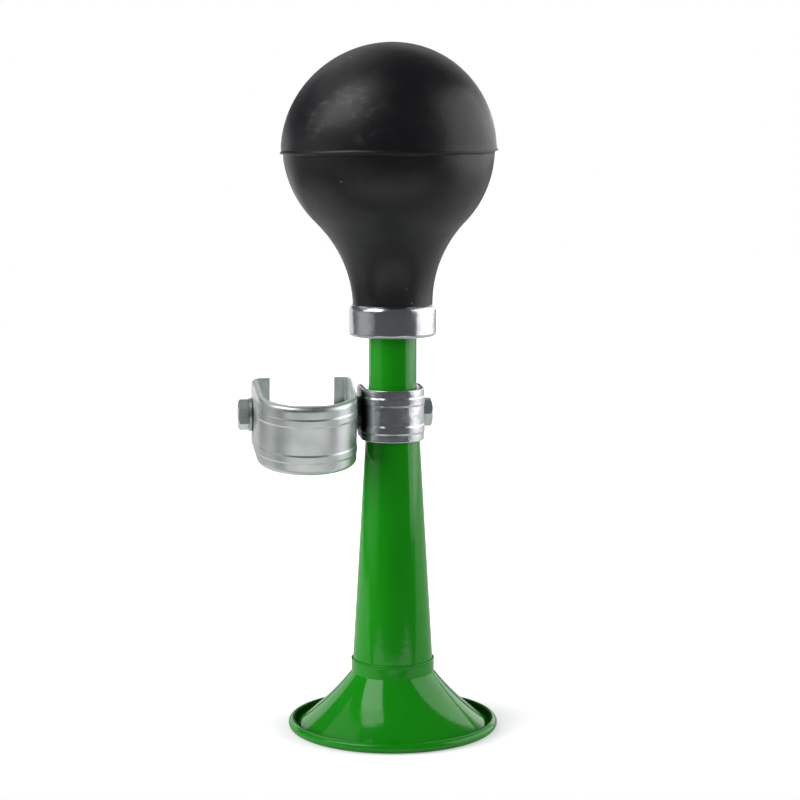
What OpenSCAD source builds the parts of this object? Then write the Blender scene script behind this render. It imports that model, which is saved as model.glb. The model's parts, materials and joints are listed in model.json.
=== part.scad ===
// Bulb horn: rubber bulb, chrome ferrule, reed unit, painted conical horn with a
// spun bell, and a two-strap clamp that ties the horn to a handlebar.
// Frame: the horn's axis is Z, its bell stands on z = 0, the clamp bolt runs along X.

/* [Bell] */
// Diameter over the rolled rim
bell_d = 54.8; // [48:0.2:70]
// Diameter of the rolled rim's round section
rim_d = 2.5; // [1.8:0.1:3.2]
// Width of the narrow flat that the rim stands on
rest_flat_w = 1.0; // [0.6:0.1:1.4]
// Height angle on the rim's section at which the flare runs into it, in degrees
brim_turn = -10; // [-15:1:30]
// Height of the flare, from the floor to the collar
flare_h = 14.8; // [13:0.2:18]
// Radius of the flare's hollow curve
flare_curve_r = 65; // [40:1:120]
// Height of the collar that sleeves the cone's end
collar_h = 3.6; // [2:0.2:5]
// Diameter of the lip rolled on the collar's top
lip_d = 0.5; // [0.4:0.1:1.2]
// Thickness of the bell's sheet
bell_sheet = 0.4; // [0.3:0.05:0.8]

/* [Horn cone] */
// Outer diameter of the cone's wide end
cone_wide_d = 20.8; // [18:0.1:24]
// Outer diameter of the neck tube
neck_tube_d = 12.36; // [11.5:0.02:13.5]
// Height at which the cone runs into the neck tube
cone_top_z = 91; // [85:0.5:97]
// Thickness of the cone's sheet
cone_sheet = 0.55; // [0.4:0.05:0.7]
// Length of the neck tube that stands inside the ferrule and the bulb's neck
tube_in_bulb = 11; // [9:0.5:14]

/* [Bulb] */
// Radius of the bulb's dome
dome_r = 27.5; // [24:0.1:32]
// Step in from the dome to the lower half at the seam
seam_step = 0.45; // [0:0.05:0.8]
// Height of the lower half's centre above the seam
belly_lift = 1.1; // [0.4:0.1:2]
// Radius of the hollow sweep from the belly to the neck
neck_sweep_r = 30.4; // [24:0.2:38]
// Outer diameter of the rubber neck
rubber_neck_d = 20.5; // [19:0.1:23]
// Thickness of the rubber
rubber_wall = 2; // [1.5:0.1:2.6]
// Height of the moulding flash at the seam
flash_h = 0.35; // [0.2:0.05:0.6]
// Depth of the sweep's lower end inside the ferrule
neck_tuck = 1; // [0:0.1:2]

/* [Ferrule] */
// Height of the ferrule's lower edge
ferrule_z = 103; // [98:0.5:110]
// Height of the ferrule
ferrule_h = 8.6; // [6:0.2:10]
// Thickness of the ferrule's wall
ferrule_wall = 0.9; // [0.7:0.1:1.4]
// Rounding of the ferrule's shoulder
ferrule_round = 2.4; // [0.8:0.1:3]
// Chamfer of the bush's upper edge
bush_chamfer = 0.8; // [0.4:0.1:1.2]

/* [Reed unit] */
// Length of the reed plug inside the neck tube
plug_l = 9; // [7:0.5:11]
// Thickness of the reed plug's flange
plug_flange_t = 1.4; // [1:0.1:2]
// Diameter of the shallot
shallot_d = 6.4; // [5:0.1:7]
// Length of the shallot above the plug's flange
shallot_rise = 18; // [14:0.5:22]
// Wall of the shallot
shallot_wall = 0.6; // [0.4:0.05:0.8]
// Depth of the shallot's flat below its round
shallot_flat = 2.1; // [1.6:0.1:2.4]
// Width of the slot in the shallot's flat
slot_w = 2.2; // [1.6:0.1:2.8]
// Distance of the slot's ends from the flange and from the round end
slot_end = 2.5; // [2:0.1:4]
// Width of the reed tongue
tongue_w = 4; // [3.2:0.1:4.4]
// Thickness of the reed tongue
tongue_t = 0.25; // [0.2:0.05:0.4]
// Set of the reed tongue away from the flat, in degrees
tongue_set = 2.5; // [1.5:0.1:4]
// Distance of the tongue's tip below the shallot's end
tongue_short = 1; // [0.5:0.1:2]
// Depth of the tongue's root between shallot and wedge
tongue_root = 2; // [1.5:0.1:3]

/* [Horn strap] */
// Height of the horn strap's band
horn_strap_h = 13.5; // [11:0.1:16]
// Height of the band's middle above the bolt's axis
horn_strap_lift = 1; // [0:0.1:1.6]
// Rounding of the ears' corners
horn_ear_round = 6; // [3:0.2:6.4]
// Rounding of the band's outer edges
horn_edge_round = 0.3; // [0.1:0.05:0.7]
// Edge of strap behind the bolt's hole
ear_edge = 2; // [1.5:0.1:3]
// Thickness of the horn strap's sheet
horn_strap_t = 1; // [0.8:0.1:1.4]

/* [Handlebar strap] */
// Diameter of the handlebar that the strap closes on
bar_d = 22.2; // [19:0.1:26]
// Slack of the strap round the bar, on the radius
bar_slack = 0.1; // [0.05:0.05:0.15]
// Height of the handlebar strap's band
bar_strap_h = 17.9; // [14:0.1:20]
// Thickness of the handlebar strap's sheet
bar_strap_t = 1.6; // [1.2:0.1:1.8]
// Rounding of the band's outer edges
bar_edge_round = 1.3; // [0.3:0.05:1.4]
// Flat of the arm between the bolt's hole and the bend of its end
bend_edge = 0.2; // [0.1:0.1:1]
// Inner radius of the bend at the strap's ends
bend_r = 0.8; // [0.4:0.1:1.6]
// Length of the lips turned in beyond the bends
lip_l = 2.5; // [1.6:0.1:3.4]
// Droop of the strap's front about the bolt, in degrees
strap_droop = 8.4; // [0:0.2:12]
// Splay of the strap's arms while it is open, in degrees
bar_splay = 2; // [0:0.25:4]

/* [Stiffening ribs] */
// Width of a stamped rib's flat crown
rib_w = 1.5; // [1.2:0.1:2]
// Run of a rib's sloping side
rib_slope = 0.45; // [0.2:0.05:0.6]
// Height of a stamped rib
rib_h = 0.2; // [0.15:0.05:0.4]
// Angle of the strap's bend that a rib runs round, in degrees
rib_run = 156; // [120:2:170]
// Distance of the horn strap's ribs from its middle
horn_rib_z = 3.6; // [3:0.1:4]
// Distance of the handlebar strap's ribs from its middle
bar_rib_z = 4.7; // [4:0.1:5.5]

/* [Clamp bolt] */
// Height of the bolt's axis
bolt_z = 81.75; // [78:0.05:86]
// Diameter of the bolt
bolt_d = 3.94; // [3.5:0.02:5]
// Size of head and nut across the flats
hex_af = 7; // [6:0.1:8]
// Height of the chamfer on head and nut
hex_chamfer = 0.4; // [0.2:0.05:0.6]
// Run of that chamfer in from the corners
hex_chamfer_in = 0.6; // [0.3:0.05:0.9]
// Height of the bolt's head
head_h = 2.8; // [2.4:0.1:3.6]
// Thickness of the nut
nut_h = 3.2; // [2.8:0.1:4]
// Length of bolt showing past the nut
bolt_tip = 0.3; // [0.2:0.1:1]
// Thickness of the washer under the head
head_washer_t = 0.7; // [0.5:0.1:1.2]
// Thickness of the swivel washer between the two straps
swivel_washer_t = 1; // [0.8:0.1:2]
// Outer diameter of both washers
washer_d = 8.6; // [7.5:0.1:9]

/* [Fits] */
// Running clearance on the radius, pins in holes
run_gap = 0.05; // [0.03:0.01:0.09]
// Clearance of the strap on the cone, on the radius
strap_gap = 0.08; // [0.05:0.01:0.2]
// Clearance between the bolt and what it passes
pass_gap = 0.4; // [0.3:0.05:0.8]
// Clearance of the rubber neck in the ferrule and on the bush
grip_gap = 0.05; // [0.03:0.01:0.1]
// Gap that leaves the reed tongue free at its root
reed_gap = 0.1; // [0.08:0.01:0.15]

/* [Hidden] */
$fn = 96;

GREEN = [0.07, 0.45, 0.06];
RUBBER = [0.10, 0.10, 0.10];
CHROME = [0.80, 0.81, 0.83];
ZINC = [0.72, 0.73, 0.74];
BRASS = [0.78, 0.62, 0.28];
BOX = 200;
OVER = 1;

// Bell
rim_r = rim_d / 2;
rim_centre_r = bell_d / 2 - rim_r;
rim_centre_z = sqrt(pow(rim_r, 2) - pow(rest_flat_w / 2, 2));
cone_wide_r = cone_wide_d / 2;
collar_r = cone_wide_r + bell_sheet;
collar_top_z = flare_h + collar_h;
brim_in = rim_r - bell_sheet / 4;
brim = [rim_centre_r - brim_in * cos(brim_turn), rim_centre_z + brim_in * sin(brim_turn)];
flare_top = [collar_r, flare_h];
chord = brim - flare_top;
flare_aside = sqrt(pow(flare_curve_r, 2) - pow(norm(chord) / 2, 2));
flare_centre = (brim + flare_top) / 2 + flare_aside * [-chord.y, chord.x] / norm(chord);

// Cone and neck tube
neck_r = neck_tube_d / 2;
tube_top_z = ferrule_z + tube_in_bulb;
taper = (cone_wide_r - neck_r) / (cone_top_z - collar_top_z);
function cone_r(z) = cone_wide_r - taper * (z - collar_top_z);

// Ferrule, bush and bulb neck
rubber_neck_r = rubber_neck_d / 2;
ferrule_bore_r = rubber_neck_r + grip_gap;
ferrule_r = ferrule_bore_r + ferrule_wall;
ferrule_floor_z = ferrule_z + ferrule_wall;
ferrule_top_z = ferrule_z + ferrule_h;
bush_r = rubber_neck_r - rubber_wall - grip_gap;

// Bulb
belly_r = dome_r - seam_step;
sweep_r = rubber_neck_r + neck_sweep_r;
sweep_z = ferrule_top_z - neck_tuck;
belly_z = sweep_z + sqrt(pow(belly_r + neck_sweep_r, 2) - pow(sweep_r, 2));
touch_z = belly_z + (sweep_z - belly_z) * belly_r / (belly_r + neck_sweep_r);
seam_z = belly_z - belly_lift;

// Reed unit
tube_bore_r = neck_r - cone_sheet;
shallot_r = shallot_d / 2;
flat_y = shallot_flat - shallot_r;
plug_top_z = tube_top_z + plug_flange_t;
shallot_top_z = plug_top_z + shallot_rise;
tongue_l = shallot_rise - tongue_short;
tongue_y = flat_y - reed_gap;

// Clamp
horn_strap_z = bolt_z + horn_strap_lift;
strap_low_z = horn_strap_z - horn_strap_h / 2;
horn_strap_ri = cone_r(strap_low_z) + strap_gap;
horn_strap_ro = horn_strap_ri + horn_strap_t;
bolt_r = bolt_d / 2;
hole_r = bolt_r + run_gap;
bolt_y = cone_r(strap_low_z) + pass_gap + bolt_r;
bar_strap_ri = bar_d / 2 + bar_slack;
bar_strap_ro = bar_strap_ri + bar_strap_t;
bar_reach = bar_d / 2 + pass_gap + bolt_r;
bar_side = bar_strap_ro / cos(bar_splay) + (bar_reach + washer_d / 2) * tan(bar_splay);
bar_x = -(horn_strap_ro + swivel_washer_t + bar_side);
horn_arm_l = bolt_y + hole_r + ear_edge;
bar_arm_l = bar_reach + hole_r + bend_edge;
head_x = bar_x - bar_side - head_washer_t;
tip_x = horn_strap_ro + nut_h + bolt_tip;

// Revolves a flat section given as radius and height
module turned() {
    rotate_extrude() children();
}

// The half plane above or below a height
module above(z) {
    translate([-BOX, z]) square([2 * BOX, BOX]);
}
module below(z) {
    translate([-BOX, z - BOX]) square([2 * BOX, BOX]);
}

// Outline of the bulb drawn in by a skin thickness
module bulb_outline(skin, foot_z) {
    intersection() {
        union() {
            intersection() {
                translate([0, seam_z]) circle(dome_r - skin);
                above(seam_z);
            }
            intersection() {
                translate([0, belly_z]) circle(belly_r - skin);
                below(belly_z);
                above(touch_z - OVER);
            }
            difference() {
                translate([0, foot_z]) square([sweep_r, touch_z - foot_z]);
                translate([sweep_r, sweep_z]) circle(neck_sweep_r + skin);
                translate([rubber_neck_r - skin, foot_z - OVER]) square([BOX, sweep_z - foot_z + OVER]);
            }
        }
        translate([0, foot_z]) square(BOX);
    }
}

module rubber_bulb() {
    color(RUBBER) turned() difference() {
        union() {
            bulb_outline(0, ferrule_floor_z);
            translate([dome_r, seam_z]) circle(flash_h);
        }
        bulb_outline(rubber_wall, ferrule_floor_z - OVER);
    }
}

module bulb_ferrule() {
    color(CHROME) turned() difference() {
        union() {
            translate([0, ferrule_floor_z]) square([ferrule_r, ferrule_h - ferrule_round - ferrule_wall]);
            translate([0, ferrule_z]) square([ferrule_r - ferrule_wall, ferrule_h]);
            intersection() {
                translate([ferrule_r - ferrule_round, ferrule_top_z - ferrule_round]) circle(ferrule_round);
                above(ferrule_floor_z);
            }
            translate([ferrule_r - ferrule_wall, ferrule_floor_z]) circle(ferrule_wall);
        }
        translate([0, ferrule_floor_z]) square([ferrule_bore_r, ferrule_h]);
        translate([0, ferrule_z - OVER]) square([neck_r, ferrule_h]);
    }
}

module neck_bush() {
    color("ivory") turned() difference() {
        translate([0, ferrule_floor_z]) square([bush_r, tube_top_z - ferrule_floor_z]);
        translate([0, ferrule_floor_z - OVER]) square([neck_r, BOX]);
        translate([bush_r, tube_top_z]) rotate(45) square(bush_chamfer * sqrt(2), center = true);
    }
}

module reed_plug() {
    color("ivory") turned() difference() {
        union() {
            translate([0, tube_top_z - plug_l]) square([tube_bore_r, plug_l]);
            translate([0, tube_top_z]) square([(neck_r + bush_r) / 2, plug_flange_t]);
        }
        translate([0, tube_top_z - plug_l - OVER]) square([shallot_r, BOX]);
    }
}

// Half plane behind the shallot's flat, as a solid
module behind_flat(y, depth) {
    translate([-BOX / 2, y, tube_top_z - plug_l - depth]) cube(BOX);
}

module reed_shallot() {
    low_z = tube_top_z - plug_l;
    straight = shallot_top_z - shallot_r - low_z;
    bore_r = shallot_r - shallot_wall;
    color(BRASS) difference() {
        intersection() {
            union() {
                translate([0, 0, low_z]) cylinder(r = shallot_r, h = straight);
                translate([0, 0, low_z + straight]) sphere(shallot_r);
            }
            behind_flat(flat_y, OVER);
        }
        intersection() {
            translate([0, 0, low_z - OVER]) cylinder(r = bore_r, h = straight + OVER);
            behind_flat(flat_y + shallot_wall, 2 * OVER);
        }
        translate([-slot_w / 2, flat_y - OVER, plug_top_z + slot_end])
            cube([slot_w, shallot_wall + 2 * OVER, shallot_rise - shallot_r - 2 * slot_end]);
    }
}

module reed_tongue() {
    color(BRASS) translate([0, tongue_y, plug_top_z]) rotate([tongue_set, 0, 0])
        translate([-tongue_w / 2, -tongue_t, -tongue_root])
            cube([tongue_w, tongue_t, tongue_root + tongue_l]);
}

// Segment that fills the plug's bore in front of the tongue's root
module reed_wedge() {
    color(BRASS) intersection() {
        translate([0, 0, tube_top_z - plug_l]) cylinder(r = shallot_r, h = plug_l + plug_flange_t);
        translate([0, flat_y, plug_top_z]) mirror([0, 1, 0]) union() {
            translate([-shallot_r, 2 * reed_gap + tongue_t, -BOX]) cube([shallot_d, BOX, BOX + OVER]);
            translate([-shallot_r, 0, -BOX]) cube([shallot_d, BOX, BOX - tongue_root - 2 * reed_gap]);
        }
    }
}

module horn_cone() {
    low_z = flare_h - bell_sheet;
    function bore(z) = cone_r(z) - cone_sheet;
    color(GREEN) turned() polygon([
        [cone_wide_r, low_z],
        [cone_wide_r, collar_top_z],
        [neck_r, cone_top_z],
        [neck_r, tube_top_z],
        [tube_bore_r, tube_top_z],
        [tube_bore_r, cone_top_z],
        [bore(collar_top_z), collar_top_z],
        [bore(collar_top_z), low_z]
    ]);
}

module bell_flare() {
    brim_end_r = (brim.x + rim_centre_r) / 2;
    color(GREEN) turned() difference() {
        union() {
            translate([cone_wide_r, flare_h]) square([bell_sheet, collar_h - lip_d / 2]);
            translate([cone_wide_r + lip_d / 2, collar_top_z - lip_d / 2]) circle(lip_d / 2);
            intersection() {
                translate(flare_centre) difference() {
                    circle(flare_curve_r + bell_sheet);
                    circle(flare_curve_r);
                }
                translate([cone_wide_r, 0]) square([brim_end_r - cone_wide_r, flare_h + bell_sheet]);
            }
            translate([rim_centre_r, rim_centre_z]) circle(rim_r);
        }
        below(0);
    }
}

// Section of a strap's sheet beyond an inner radius, its outer edges rounded
module band_section(inner_r, thick, high, round_r) {
    difference() {
        translate([inner_r, -high / 2]) square([thick, high]);
        for (side = [-1, 1])
            translate([inner_r + thick - round_r, side * (high / 2 - round_r)]) difference() {
                translate([0, side > 0 ? 0 : -round_r]) square(round_r);
                circle(round_r);
            }
    }
}

// The same section run straight along +Y
module straight_band(run) {
    translate([0, run, 0]) rotate([90, 0, 0]) linear_extrude(run) children();
}

// Section of one stamped rib on a strap's outer face
module rib_section(face_r, z) {
    crown = rib_w / 2;
    root = crown + 2 * rib_slope;
    polygon([
        [face_r - rib_h, z - root],
        [face_r + rib_h, z - crown],
        [face_r + rib_h, z + crown],
        [face_r - rib_h, z + root]
    ]);
}

// Both arms of a strap, each turned outward by its splay
module both_arms(splay) {
    for (side = [0, 1]) mirror([side, 0, 0]) rotate([0, 0, -splay]) children();
}

// A U of a sheet's section round the Z axis, its arms running back along +Y
module strap_band(arm_l, splay) {
    rotate([0, 0, 180 + splay]) rotate_extrude(angle = 180 - 2 * splay) children();
    both_arms(splay) straight_band(arm_l) children();
}

// What is kept of a strap with rounded ears, seen from the side
module ear_outline(high, arm_l, ear_round) {
    rotate([0, 90, 0]) linear_extrude(BOX, center = true) union() {
        translate([-high / 2, -BOX]) square([high, BOX + arm_l - ear_round]);
        translate([ear_round - high / 2, 0]) square([high - 2 * ear_round, arm_l]);
        for (side = [-1, 1])
            translate([side * (high / 2 - ear_round), arm_l - ear_round]) circle(ear_round);
    }
}

module strap_ribs(face_r, rib_z) {
    for (side = [-1, 1]) rotate([0, 0, 270 - rib_run / 2])
        rotate_extrude(angle = rib_run) rib_section(face_r, side * rib_z);
}

module bolt_holes(at_y) {
    translate([0, at_y, 0]) rotate([0, 90, 0]) cylinder(r = hole_r, h = BOX, center = true);
}

module horn_strap() {
    color(CHROME) translate([0, 0, horn_strap_z]) difference() {
        union() {
            intersection() {
                strap_band(horn_arm_l, 0)
                    band_section(horn_strap_ri, horn_strap_t, horn_strap_h, horn_edge_round);
                ear_outline(horn_strap_h, horn_arm_l, horn_ear_round);
            }
            strap_ribs(horn_strap_ro, horn_rib_z);
        }
        translate([0, 0, -horn_strap_lift]) bolt_holes(bolt_y);
    }
}

// Places what droops with the handlebar strap, drawn round its own bar axis
module on_bar() {
    translate([bar_x, bolt_y, bolt_z]) rotate([strap_droop, 0, 0]) translate([0, -bar_reach, 0]) children();
}

module handlebar_strap() {
    color(ZINC) on_bar() difference() {
        union() {
            strap_band(bar_arm_l, bar_splay)
                band_section(bar_strap_ri, bar_strap_t, bar_strap_h, bar_edge_round);
            strap_ribs(bar_strap_ro, bar_rib_z);
            both_arms(bar_splay) translate([bar_strap_ri - bend_r, bar_arm_l, 0]) {
                rotate_extrude(angle = 90) band_section(bend_r, bar_strap_t, bar_strap_h, bar_edge_round);
                rotate([0, 0, 90]) straight_band(lip_l)
                    band_section(bend_r, bar_strap_t, bar_strap_h, bar_edge_round);
            }
        }
        bolt_holes(bar_reach);
    }
}

// Lays a shape drawn along Z on the bolt's axis, starting at x
module on_bolt(x) {
    translate([x, bolt_y, bolt_z]) rotate([0, 90, 0]) children();
}

// A hexagon across the flats, its corners chamfered on the outer end
module hex_block(high, turn) {
    corner_r = hex_af / sqrt(3);
    intersection() {
        rotate([0, 0, turn]) cylinder(r = corner_r, h = high, $fn = 6);
        union() {
            cylinder(r = corner_r + OVER, h = high - hex_chamfer);
            translate([0, 0, high - hex_chamfer])
                cylinder(r1 = corner_r, r2 = corner_r - hex_chamfer_in, h = hex_chamfer);
        }
    }
}

module clamp_bolt() {
    color(ZINC) {
        on_bolt(head_x) mirror([0, 0, 1]) hex_block(head_h, 0);
        on_bolt(head_x) cylinder(r = bolt_r, h = tip_x - head_x);
    }
}

module clamp_nut() {
    color(ZINC) on_bolt(horn_strap_ro) difference() {
        hex_block(nut_h, 30);
        translate([0, 0, -OVER]) cylinder(r = hole_r, h = nut_h + 2 * OVER);
    }
}

module washer(thick) {
    difference() {
        cylinder(d = washer_d, h = thick);
        translate([0, 0, -OVER]) cylinder(r = hole_r, h = thick + 2 * OVER);
    }
}

module head_washer() {
    color(ZINC) on_bolt(head_x) washer(head_washer_t);
}

module swivel_washer() {
    color(ZINC) on_bolt(-horn_strap_ro - swivel_washer_t) washer(swivel_washer_t);
}

rubber_bulb();
bulb_ferrule();
neck_bush();
reed_plug();
reed_shallot();
reed_tongue();
reed_wedge();
horn_cone();
bell_flare();
horn_strap();
handlebar_strap();
clamp_bolt();
clamp_nut();
head_washer();
swivel_washer();
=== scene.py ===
"""Look of the bulb horn: its finishes, the forms of its bulb and bell, a studio and the camera."""
import json
import math

import bmesh
import bpy
import numpy as np
from mathutils import Matrix, Vector


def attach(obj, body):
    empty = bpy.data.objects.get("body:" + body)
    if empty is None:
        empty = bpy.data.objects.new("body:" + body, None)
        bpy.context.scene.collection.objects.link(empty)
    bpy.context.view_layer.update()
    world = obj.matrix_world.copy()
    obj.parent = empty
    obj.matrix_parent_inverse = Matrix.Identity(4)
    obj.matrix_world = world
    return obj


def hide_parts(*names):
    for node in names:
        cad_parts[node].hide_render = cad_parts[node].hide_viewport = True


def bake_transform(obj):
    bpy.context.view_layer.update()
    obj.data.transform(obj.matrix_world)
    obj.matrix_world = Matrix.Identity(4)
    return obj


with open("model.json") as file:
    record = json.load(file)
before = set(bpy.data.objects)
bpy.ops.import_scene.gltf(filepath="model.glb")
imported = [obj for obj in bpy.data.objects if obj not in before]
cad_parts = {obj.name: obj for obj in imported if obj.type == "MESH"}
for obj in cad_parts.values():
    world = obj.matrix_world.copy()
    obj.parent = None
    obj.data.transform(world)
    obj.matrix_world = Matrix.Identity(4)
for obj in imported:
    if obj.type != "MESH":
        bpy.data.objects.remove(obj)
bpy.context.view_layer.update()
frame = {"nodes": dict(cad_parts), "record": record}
scene = bpy.context.scene
scene.view_settings.view_transform = "Standard"
MM = 0.001

# The photograph's viewing frame: turned about Z, with its right and its depth direction
YAW = math.radians(-7.0)
RIGHT = Vector((math.cos(YAW), math.sin(YAW), 0))
DEPTH = Vector((-math.sin(YAW), math.cos(YAW), 0))
UP = Vector((0, 0, 1))

# Sockets of the colour kind of the Mix node, which shares its names with the other kinds
MIX_INPUTS = (0, 6, 7)
MIX_RESULT = 2


def in_view(right, depth, up):
    """A point given along the view's right, its depth and up, in metres."""
    return RIGHT * right + DEPTH * depth + UP * up


class Nodes:
    """Short ways to add and link shader nodes of one material or world."""

    def __init__(self, owner):
        owner.use_nodes = True
        self.tree = owner.node_tree
        self.tree.nodes.clear()

    def add(self, kind, **inputs):
        made = self.tree.nodes.new("ShaderNode" + kind)
        for name, value in inputs.items():
            self.put(made, name.replace("_", " "), value)
        return made

    def put(self, made, name, value):
        socket = made.inputs[name]
        if isinstance(value, bpy.types.NodeSocket):
            self.tree.links.new(value, socket)
        else:
            socket.default_value = value

    def place(self):
        return self.add("TexCoord").outputs["Object"]

    def stretched(self, scale):
        return self.add("Mapping", Vector=self.place(), Scale=scale).outputs["Vector"]

    def noise(self, scale, detail=3.0, vector=None, roughness=0.5):
        at = vector or self.place()
        made = self.add("TexNoise", Vector=at, Scale=scale, Detail=detail, Roughness=roughness)
        return made.outputs["Fac"]

    def ramp(self, fac, *stops):
        """Colours or grey levels between stops, each a position and what it has there."""
        made = self.add("ValToRGB", Fac=fac)
        while len(made.color_ramp.elements) < len(stops):
            made.color_ramp.elements.new(0.5)
        for element, (at, colour) in zip(made.color_ramp.elements, stops):
            element.position = at
            element.color = colour if hasattr(colour, "__len__") else (colour, colour, colour, 1)
        return made.outputs["Color"]

    def spread(self, value, low, high, at_low=0.0, at_high=1.0):
        """A value brought from the span low to high to the span at_low to at_high, and held in it."""
        made = self.add("MapRange", Value=value, From_Min=low, From_Max=high, To_Min=at_low, To_Max=at_high)
        return made.outputs["Result"]

    def product(self, a, b):
        made = self.add("Math")
        made.operation = "MULTIPLY"
        self.put(made, 0, a)
        self.put(made, 1, b)
        return made.outputs["Value"]

    def distance(self, vector, point=(0, 0, 0)):
        made = self.add("VectorMath")
        made.operation = "DISTANCE"
        self.put(made, 0, vector)
        self.put(made, 1, point)
        return made.outputs["Value"]

    def mix(self, fac, a, b):
        made = self.add("Mix")
        made.data_type = "RGBA"
        for socket, value in zip(MIX_INPUTS, (fac, a, b)):
            self.put(made, socket, value)
        return made.outputs[MIX_RESULT]

    def crevice(self, reach, *stops):
        """A ramp over how open a place is within a reach, from shut in at 0 to open at 1."""
        made = self.add("AmbientOcclusion", Distance=reach)
        return self.ramp(made.outputs["AO"], *stops)

    def bump(self, height, strength, distance):
        made = self.add("Bump", Height=height, Strength=strength, Distance=distance)
        return made.outputs["Normal"]

    def surface(self, shader):
        self.add("OutputMaterial", Surface=shader.outputs[0])

    def body(self, **inputs):
        self.surface(self.add("BsdfPrincipled", **inputs))


def material(name):
    made = bpy.data.materials.new(name)
    return made, Nodes(made)


def green_paint():
    """Enamel with a fine orange peel, with painted shade and no gloss down in the groove inside the bell's
    rim.
    """
    made, n = material("green_enamel")
    deep = (0.0035, 0.168, 0.0018, 1)
    pale = (0.0050, 0.182, 0.0026, 1)
    # Painted shade: the dark colour given to the groove inside the rim
    groove_shade = (0.0018, 0.050, 0.0012, 1)
    tint = n.ramp(n.noise(60, 4), (0.35, deep), (0.7, pale))
    gloss = n.ramp(n.noise(220, 3), (0.3, 0.075), (0.75, 0.12))
    from_axis = n.distance(n.stretched((1, 1, 0)))
    across_rim = n.spread(from_axis, low=0.024, high=0.028)
    # Painted shade: the groove inside the rim is coloured dark and its reflection turned off, standing in
    # for the shadow that falls there
    groove = n.ramp(across_rim, (0.20, 0), (0.22, 1), (0.46, 1), (0.50, 0))
    shine = n.ramp(groove, (0, 0.5), (1, 0))
    peel = n.bump(n.noise(700, 2), 0.03, 0.0004)
    colour = n.mix(groove, tint, groove_shade)
    n.body(Base_Color=colour, Roughness=gloss, Normal=peel, Specular_IOR_Level=shine)
    return made


def chrome():
    """Thin bright plate over pressed steel, which is never quite flat; painted shade where it is shut in."""
    made, n = material("chrome_plate")
    # Painted shade: the plate's colour goes dark in creases and gaps between parts, by how shut in each
    # place is
    open_to_light = n.crevice(0.0035, (0.25, 0), (0.65, 1))
    tint = n.mix(open_to_light, (0.10, 0.10, 0.12, 1), (0.72, 0.73, 0.75, 1))
    gloss = n.ramp(n.noise(150, 4), (0.3, 0.18), (0.75, 0.30))
    wave = n.bump(n.noise(130, 3), 0.42, 0.0008)
    n.body(Base_Color=tint, Metallic=1.0, Roughness=gloss, Normal=wave)
    return made


def zinc():
    """Mottled zinc with a trace of green; painted shade where it is shut in."""
    made, n = material("zinc_plate")
    mottle = n.ramp(n.noise(180, 5), (0.3, (0.78, 0.85, 0.82, 1)), (0.7, (0.96, 0.99, 0.97, 1)))
    # Painted shade: the zinc's colour goes dark in creases and gaps between parts, by how shut in each place
    # is
    open_to_light = n.crevice(0.003, (0.35, 0), (0.8, 1))
    tint = n.mix(open_to_light, (0.12, 0.15, 0.14, 1), mottle)
    gloss = n.ramp(n.noise(240, 4), (0.3, 0.32), (0.75, 0.44))
    wave = n.bump(n.noise(140, 4), 0.08, 0.0008)
    n.body(Base_Color=tint, Metallic=1.0, Roughness=gloss, Normal=wave)
    return made


def brass():
    """Rolled brass with its grain along the reed."""
    made, n = material("rolled_brass")
    grain = n.noise(60, 4, n.stretched((40, 40, 2)))
    tint = n.ramp(grain, (0.3, (0.62, 0.42, 0.14, 1)), (0.75, (0.75, 0.55, 0.24, 1)))
    gloss = n.ramp(grain, (0.3, 0.22), (0.75, 0.34))
    n.body(Base_Color=tint, Metallic=1.0, Roughness=gloss, Normal=n.bump(grain, 0.08, 0.0004))
    return made


def moulding():
    """Cream plastic with a fine moulded grain."""
    made, n = material("moulded_plastic")
    tint = n.ramp(n.noise(120, 3), (0.3, (0.70, 0.67, 0.58, 1)), (0.7, (0.76, 0.74, 0.66, 1)))
    grain = n.bump(n.noise(900, 2), 0.08, 0.0003)
    n.body(Base_Color=tint, Roughness=0.5, Normal=grain)
    return made


def rubber():
    """Black rubber with a few pale specks and a dusty patch where a thumb has rubbed it."""
    made, n = material("moulded_rubber")
    cloud = n.ramp(n.noise(45, 5), (0.3, (0.0030, 0.0030, 0.0036, 1)), (0.75, (0.0056, 0.0056, 0.0063, 1)))
    rubbed_at = in_view(-0.0121, -0.0227, 0.161)
    rubbed = n.ramp(n.distance(n.place(), rubbed_at), (0.002, 0.55), (0.012, 0.04))
    streak = n.ramp(n.noise(170, 6, n.stretched((1, 1, 2.2)), 0.65), (0.52, 0), (0.74, 1))
    dusty = n.mix(n.product(rubbed, streak), cloud, (0.085, 0.088, 0.085, 1))
    speck = n.ramp(n.noise(620, 1), (0.80, 0), (0.815, 0.4))
    tint = n.mix(speck, dusty, (0.26, 0.26, 0.25, 1))
    gloss = n.ramp(n.noise(110, 5), (0.3, 0.32), (0.75, 0.44))
    grain = n.bump(n.noise(420, 4), 0.10, 0.0005)
    n.body(Base_Color=tint, Roughness=gloss, Normal=grain)
    return made


FINISH = {
    "green_paint": green_paint(),
    "chrome": chrome(),
    "zinc_plate": zinc(),
    "brass": brass(),
    "moulding": moulding(),
    "rubber": rubber(),
}
slots = {part["node"]: part["material_slot"] for part in frame["record"]["subparts"]}
for name, node in frame["nodes"].items():
    node.data.materials.clear()
    node.data.materials.append(FINISH[slots[name]])


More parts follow.
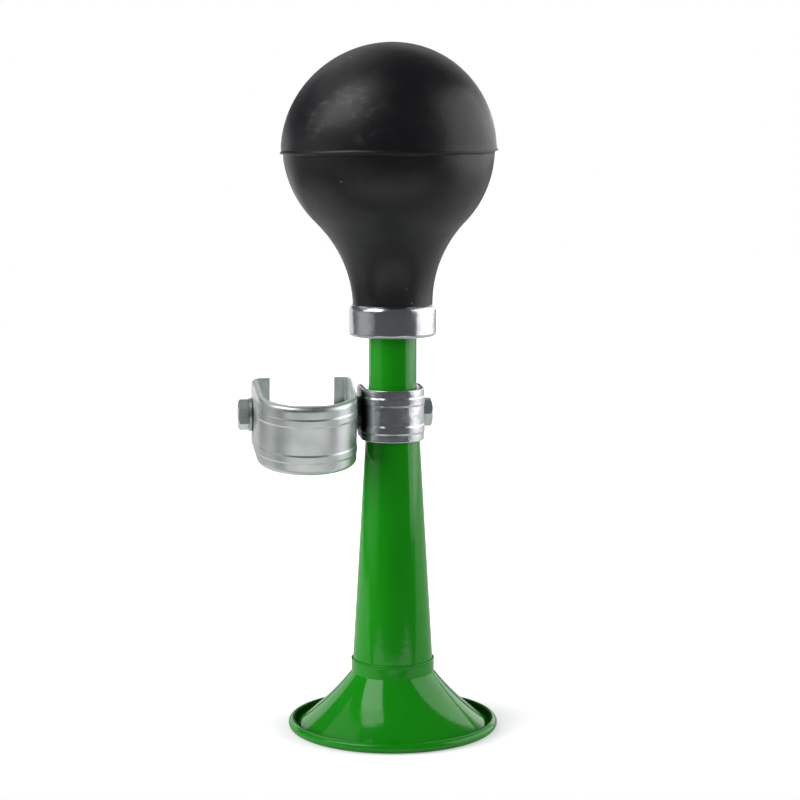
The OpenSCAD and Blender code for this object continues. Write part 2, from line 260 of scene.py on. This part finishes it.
def lathe(name, rings, shape, around):
    """A closed mesh of rings, each point placed by shape from radius, height, turn and what follows them."""
    verts = []
    faces = []
    rows = []
    for r, z, *rest in rings:
        count = around if r > 1e-6 else 1
        rows.append(range(len(verts), len(verts) + count))
        verts += [shape(r, z, 2 * math.pi * k / around, *rest) for k in range(count)]
    for low, high in zip(rows, rows[1:] + rows[:1]):
        for k in range(around):
            following = k + 1
            corners = (
                low[k % len(low)],
                low[following % len(low)],
                high[following % len(high)],
                high[k % len(high)],
            )
            face = list(dict.fromkeys(corners))
            if len(face) > 2:
                faces.append(face)
    mesh = bpy.data.meshes.new(name)
    mesh.from_pydata(verts, [], faces)
    mesh.validate()
    work = bmesh.new()
    work.from_mesh(mesh)
    bmesh.ops.recalc_face_normals(work, faces=work.faces)
    work.to_mesh(mesh)
    work.free()
    for face in mesh.polygons:
        face.use_smooth = True
    made = bpy.data.objects.new(name, mesh)
    scene.collection.objects.link(made)
    return made


# The rubber bulb, in millimetres: the CAD bulb's own curves, with the moulding's lean, uneven seam and flash
DOME_R = 27.5
BELLY_R = 27.05
NECK_R = 10.25
SEAM_Z = 150.1
BELLY_Z = 151.2
FOOT_Z = 103.9
SWEEP = 30.4
WALL = 2.0
SWEEP_R = NECK_R + SWEEP
SWEEP_Z = BELLY_Z - math.sqrt((BELLY_R + SWEEP) ** 2 - SWEEP_R ** 2)
TOUCH_Z = BELLY_Z + (SWEEP_Z - BELLY_Z) * BELLY_R / (BELLY_R + SWEEP)

# The flash on the seam: how far each ring stands out from the dome and above the seam
FLASH = ((-0.42, -0.38), (-0.10, -0.30), (0.30, -0.17), (0.35, 0.0), (0.28, 0.16), (0.04, 0.34))
FLASH_OUT = 0.35

# The lean to the view's left, full at the seam, and the seam's tilt
LEAN = 0.97
LEAN_FOOT_Z = 112.0
TILT = 0.011


def outer_r(z, skin=0.0):
    """Radius of the bulb at a height, drawn in by a skin thickness."""
    if z >= SEAM_Z:
        return math.sqrt(max((DOME_R - skin) ** 2 - (z - SEAM_Z) ** 2, 0))
    if z >= TOUCH_Z:
        return math.sqrt(max((BELLY_R - skin) ** 2 - (z - BELLY_Z) ** 2, 0))
    if z >= SWEEP_Z:
        return SWEEP_R - math.sqrt(max((SWEEP + skin) ** 2 - (z - SWEEP_Z) ** 2, 0))
    return NECK_R - skin


def dome(r, turns):
    return [(r * math.cos(turn), SEAM_Z + r * math.sin(turn), 0.0) for turn in turns]


def bulb_profile():
    """Radius, height and seam share of each ring, from the foot over the dome and back down inside."""
    quarter = math.pi / 2
    below = SEAM_Z - 1.6
    above = math.asin(1.8 / DOME_R)
    rings = [(outer_r(z), z, 0.0) for z in np.linspace(FOOT_Z, below, 46)]
    rings.append((outer_r(SEAM_Z - 1.1), SEAM_Z - 1.1, 0.4))
    rings.append((outer_r(SEAM_Z - 0.6) - 0.03, SEAM_Z - 0.6, 0.8))
    rings += [(DOME_R + out, SEAM_Z + up, 1.0) for out, up in FLASH]
    rings.append((outer_r(SEAM_Z + 0.7), SEAM_Z + 0.7, 0.8))
    rings.append((outer_r(SEAM_Z + 1.2), SEAM_Z + 1.2, 0.4))
    rings += dome(DOME_R, np.linspace(above, quarter, 40))
    rings += dome(DOME_R - WALL, np.linspace(quarter, 0, 24))
    rings += [(outer_r(z, WALL), z, 0.0) for z in np.linspace(SEAM_Z - 1, FOOT_Z, 30)]
    return rings


def moulded(r, z, turn, seam):
    """A point of the bulb with the moulding's unevenness, in metres."""
    wave = 0.16 * math.sin(3 * turn + 0.6) + 0.10 * math.sin(7 * turn + 2.1)
    fin = 1 + 0.25 * math.sin(5 * turn + 1.2) * seam * (FLASH_OUT / DOME_R)
    share = min(max((z - LEAN_FOOT_Z) / (SEAM_Z - LEAN_FOOT_Z), 0), 1)
    over = max(z - SEAM_Z, 0) / DOME_R
    lean = -LEAN * share * (1 - 0.65 * over * over)
    rise = r * math.cos(turn) * TILT * share
    right = r * fin * math.cos(turn) + lean
    depth = r * fin * math.sin(turn)
    return in_view(right, depth, z + wave * seam + rise) * MM


bulb = lathe("moulded_bulb", bulb_profile(), moulded, 160)
bulb.data.materials.append(FINISH["rubber"])
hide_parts("rubber_bulb")
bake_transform(bulb)


# The bell, in millimetres: the CAD bell's own section, turned finely for an even gloss into the rolled rim
BELL_R = 27.4
CONE_R = 10.4
SHEET = 0.4
LIP_R = 0.25
COLLAR_H = 3.6
RIM_R = 1.25
REST_FLAT = 0.5
FLARE_R = 65.0
FLARE_H = 14.8
BRIM_TURN = 190
RING_GAP = 0.1
COLLAR_TOP = FLARE_H + COLLAR_H
RIM_AT = np.array((BELL_R - RIM_R, math.sqrt(RIM_R ** 2 - REST_FLAT ** 2)))
FLARE_TOP = np.array((CONE_R + SHEET, FLARE_H))


def toward(degrees):
    return np.array((math.cos(math.radians(degrees)), math.sin(math.radians(degrees))))


def turn_from(centre, point):
    """Angle at which a point lies from a centre, from 0 to 360 degrees."""
    right, up = point - centre
    return math.degrees(math.atan2(up, right)) % 360


def arc(centre, radius, first, last, count):
    return [centre + radius * toward(turn) for turn in np.linspace(first, last, count)]


def flare_sides():
    """Points of the flare's upper and under side, from the collar out to the rolled rim."""
    brim = RIM_AT + (RIM_R - SHEET / 4) * toward(BRIM_TURN)
    chord = brim - FLARE_TOP
    reach = math.hypot(*chord)
    aside = math.sqrt(FLARE_R ** 2 - (reach / 2) ** 2)
    centre = (brim + FLARE_TOP) / 2 + aside * np.array((-chord[1], chord[0])) / reach
    first = turn_from(centre, FLARE_TOP)
    last = turn_from(centre, brim) + 1

    def outside_rim(point):
        return math.hypot(*(point - RIM_AT)) > RIM_R and point[0] < RIM_AT[0]

    above = [p for p in arc(centre, FLARE_R, first, last, 120) if outside_rim(p)]
    under = [p for p in arc(centre, FLARE_R + SHEET, first, last, 120) if outside_rim(p)]
    return above, [p for p in under if p[0] > CONE_R and p[1] > 0]


def bell_profile():
    """Radius and height of the bell's rings: over the lip, down the flare, round the rim, up inside."""
    above, under = flare_sides()
    flat_turn = math.degrees(math.asin(REST_FLAT / RIM_R))
    rim_first = turn_from(RIM_AT, above[-1]) - 1
    rim_last = turn_from(RIM_AT, under[-1]) - 360 + 1
    rim = arc(RIM_AT, RIM_R, rim_first, flat_turn - 90, 60)
    rim += arc(RIM_AT, RIM_R, -90 - flat_turn, rim_last, 8)
    lip = arc(np.array((CONE_R + LIP_R, COLLAR_TOP - LIP_R)), LIP_R, 180, -50, 12)
    collar_rises = np.linspace(COLLAR_H - 2 * LIP_R, RING_GAP, 6)
    collar = [FLARE_TOP + (0, rise) for rise in collar_rises]
    inner_heights = np.linspace(under[0][1], COLLAR_TOP - LIP_R - RING_GAP, 6)
    inner = [np.array((CONE_R, z)) for z in inner_heights]
    return [tuple(p) for p in lip + collar + above + rim + under[::-1] + inner]


def turned(r, z, turn):
    return (r * math.cos(turn) * MM, r * math.sin(turn) * MM, z * MM)


bell = lathe("spun_bell", bell_profile(), turned, 240)
bell.data.set_sharp_from_angle(angle=math.radians(40))
bell.data.materials.append(FINISH["green_paint"])
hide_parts("bell_flare")
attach(bell, "horn")


def floor_finish():
    """Pale table with a painted glow, seen only by the camera, that lifts it to white away from the horn and
    leaves its soft shadow near the rim.
    """
    made, n = material("pale_table")
    tint = n.ramp(n.noise(3, 2), (0.3, 0.58), (0.7, 0.60))
    lit = n.add("BsdfDiffuse", Color=tint)
    # Painted light: a glow seen only by the camera, weak near the horn and full further out, washes out the
    # table's shadow away from the rim
    fade = n.spread(n.distance(n.place()), low=0.027, high=0.065, at_low=0.40, at_high=1.0)
    seen = n.add("LightPath").outputs["Is Camera Ray"]
    glow = n.add("Emission", Color=(1, 1, 1, 1), Strength=n.product(seen, fade))
    both = n.add("AddShader")
    n.put(both, 0, lit.outputs[0])
    n.put(both, 1, glow.outputs[0])
    n.surface(both)
    return made


def table_top(left, right, front, back):
    just_below = -0.0002
    outline = ((left, front), (right, front), (right, back), (left, back))
    mesh = bpy.data.meshes.new("table_top")
    mesh.from_pydata([in_view(x, y, just_below) for x, y in outline], [], [(0, 1, 2, 3)])
    mesh.materials.append(floor_finish())
    made = bpy.data.objects.new("table_top", mesh)
    scene.collection.objects.link(made)


def white_world():
    """White to the camera, and a dim cool room to everything else."""
    world = bpy.data.worlds.new("studio")
    scene.world = world
    n = Nodes(world)
    seen = n.add("LightPath").outputs["Is Camera Ray"]
    shade = n.mix(seen, (0.080, 0.084, 0.092, 1), (1, 1, 1, 1))
    back = n.add("Background", Color=shade, Strength=1.0)
    n.add("OutputWorld", Surface=back.outputs[0])


def softbox(name, at, aim, across, wide, high, level, mirrored=True):
    """A rectangle of light of an even level, its width lying along across; mirrored ones show in gloss."""
    out_of = (at - aim).normalized()
    up_of = out_of.cross(across).normalized()
    side = up_of.cross(out_of)
    lamp = bpy.data.lights.new(name, "AREA")
    lamp.shape = "RECTANGLE"
    lamp.size = wide
    lamp.size_y = high
    lamp.energy = level * math.pi * wide * high
    made = bpy.data.objects.new(name, lamp)
    scene.collection.objects.link(made)
    turn = Matrix((side, up_of, out_of)).transposed().to_4x4()
    made.matrix_world = Matrix.Translation(at) @ turn
    made.visible_camera = False
    made.visible_glossy = mirrored


# Studio: a pale table in a white room
table_top(left=-0.30, right=1.6, front=-0.06, back=1.8)
white_world()

# Key: two softboxes, one above the other, high on the left, for the bright strip down the cone and flare
key_side = in_view(0.872, -0.489, 0)
for name, key_z, level in (("key_softbox", 0.605, 2.7), ("upper_key", 1.135, 2.0)):
    key_at = in_view(-0.4135, -0.141, key_z)
    key_aim = in_view(-0.1690, 0.295, key_z)
    softbox(name, key_at, key_aim, key_side, 0.50, 0.53, level)

# Panels on both sides, for the soft edges of the paint and the plate
for name, left, wide in (("left_panel", -0.62, 0.80), ("left_panel_core", -0.61, 0.50)):
    softbox(name, in_view(left, -0.11, 0.12), in_view(0, -0.11, 0.12), DEPTH, wide, 0.30, 0.17)
panel_side = in_view(0.226, 0.974, 0)
panel_at = in_view(0.676, 0.436, 0.35)
softbox("right_panel", panel_at, in_view(0.092, 0.572, 0.35), panel_side, 1.367, 0.70, 1.40)
low_side = in_view(0.944, 0.330, 0)
low_at = in_view(-0.25, 0.36, 0.115)
softbox("left_low_panel", low_at, in_view(-0.124, 0, 0.115), low_side, 0.34, 0.17, 0.8)

# Backdrop, a high panel behind the left shoulder and a card under the front edge of the table
backdrop_y = 1.15
for name, x, z, wide, high, level in (
    ("backdrop", 0.088, 0.875, 1.376, 0.85, 0.45),
    ("low_backdrop", 0.463, 0.275, 0.626, 0.35, 1.3),
):
    softbox(name, in_view(x, backdrop_y, z), in_view(x, 0, z), RIGHT, wide, high, level)
high_side = in_view(0.707, 0.707, 0)
softbox("high_panel", in_view(-0.41, 0.41, 0.85), Vector((0, 0, 0.16)), high_side, 0.70, 0.55, 0.4)
softbox("low_card", in_view(0.0, -0.18, -0.012), in_view(0.0, -0.18, 1), RIGHT, 0.42, 0.12, 0.9)

# Fills: broad light on the horn's middle that no gloss shows
fill_aim = Vector((0, 0, 0.09))
fill_size = 0.8
for name, at, across, level in (
    ("left_fill", in_view(-0.95, -0.30, 0.25), DEPTH, 7.6),
    ("front_fill", in_view(-0.25, -0.95, 0.50), RIGHT, 1.5),
    ("right_fill", in_view(0.95, -0.20, 0.25), DEPTH, 3.8),
):
    softbox(name, at, fill_aim, across, fill_size, fill_size, level, mirrored=False)

# The photograph's camera: 99 mm, a little above the horn's middle and looking slightly down
LOOK_DOWN = math.radians(7.46)
lens = bpy.data.cameras.new("camera")
lens.sensor_width = 36.0
lens.lens = 99.0
lens.clip_start = 0.01
lens.clip_end = 20
camera = bpy.data.objects.new("camera", lens)
scene.collection.objects.link(camera)
camera.location = in_view(0.0019, -0.5636, 0.160)
camera.rotation_euler = (math.radians(90) - LOOK_DOWN, 0, YAW)
scene.camera = camera
